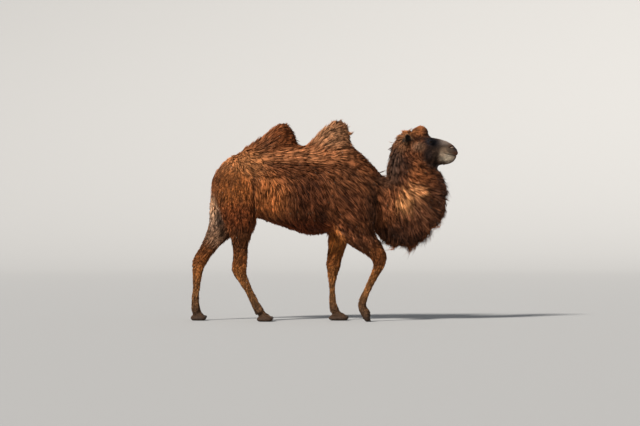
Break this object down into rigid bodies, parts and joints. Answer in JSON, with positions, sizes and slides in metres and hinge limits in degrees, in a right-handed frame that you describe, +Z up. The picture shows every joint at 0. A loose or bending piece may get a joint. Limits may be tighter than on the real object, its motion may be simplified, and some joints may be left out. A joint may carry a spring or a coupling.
{
  "type": "bactrian camel model",
  "caption": "Life-size still model of a Bactrian camel in winter coat, walking with its head up, standing on its own feet.",
  "frame": {"origin": "on the floor under the middle of the bounding box", "axes": "+Z up, +X the way the camel faces, +Y towards its left side"},
  "size_m": [2.8764, 0.8498, 2.1604],
  "materials": {
    "ear_left": "short brown fur",
    "ear_right": "short brown fur",
    "eye_left": "glossy, dark brown",
    "eye_right": "glossy, dark brown",
    "foot_fore_left": "short grey-brown fur over a leathery pad",
    "foot_fore_right": "short grey-brown fur over a leathery pad",
    "foot_hind_left": "short grey-brown fur over a leathery pad",
    "foot_hind_right": "short grey-brown fur over a leathery pad",
    "head": "short fur, dark on the face and pale on the muzzle",
    "hump_front": "thick reddish brown winter wool",
    "hump_rear": "thick reddish brown winter wool",
    "leg_fore_left": "short curly brown fur",
    "leg_fore_right": "short curly brown fur",
    "leg_hind_left": "short curly brown fur",
    "leg_hind_right": "short curly brown fur",
    "nail_fore_left_left": "dull dark horn",
    "nail_fore_left_right": "dull dark horn",
    "nail_fore_right_left": "dull dark horn",
    "nail_fore_right_right": "dull dark horn",
    "nail_hind_left_left": "dull dark horn",
    "nail_hind_left_right": "dull dark horn",
    "nail_hind_right_left": "dull dark horn",
    "nail_hind_right_right": "dull dark horn",
    "neck": "long reddish brown mane and beard",
    "shank_fore_left": "short curly brown fur",
    "shank_fore_right": "short curly brown fur",
    "shank_hind_left": "short curly brown fur",
    "shank_hind_right": "short curly brown fur",
    "tail": "dark brown hair",
    "trunk": "thick reddish brown winter wool"
  },
  "bodies": {
    "root": {"ear_left": "ear_left", "ear_right": "ear_right", "eye_left": "eye_left", "eye_right": "eye_right", "foot_fore_left": "foot_fore_left", "foot_fore_right": "foot_fore_right", "foot_hind_left": "foot_hind_left", "foot_hind_right": "foot_hind_right", "head": "head", "hump_front": "hump_front", "hump_rear": "hump_rear", "leg_fore_left": "leg_fore_left", "leg_fore_right": "leg_fore_right", "leg_hind_left": "leg_hind_left", "leg_hind_right": "leg_hind_right", "nail_fore_left_left": "nail_fore_left_left", "nail_fore_left_right": "nail_fore_left_right", "nail_fore_right_left": "nail_fore_right_left", "nail_fore_right_right": "nail_fore_right_right", "nail_hind_left_left": "nail_hind_left_left", "nail_hind_left_right": "nail_hind_left_right", "nail_hind_right_left": "nail_hind_right_left", "nail_hind_right_right": "nail_hind_right_right", "neck": "neck", "shank_fore_left": "shank_fore_left", "shank_fore_right": "shank_fore_right", "shank_hind_left": "shank_hind_left", "shank_hind_right": "shank_hind_right", "tail": "tail", "trunk": "trunk"}
  },
  "joints": []
}
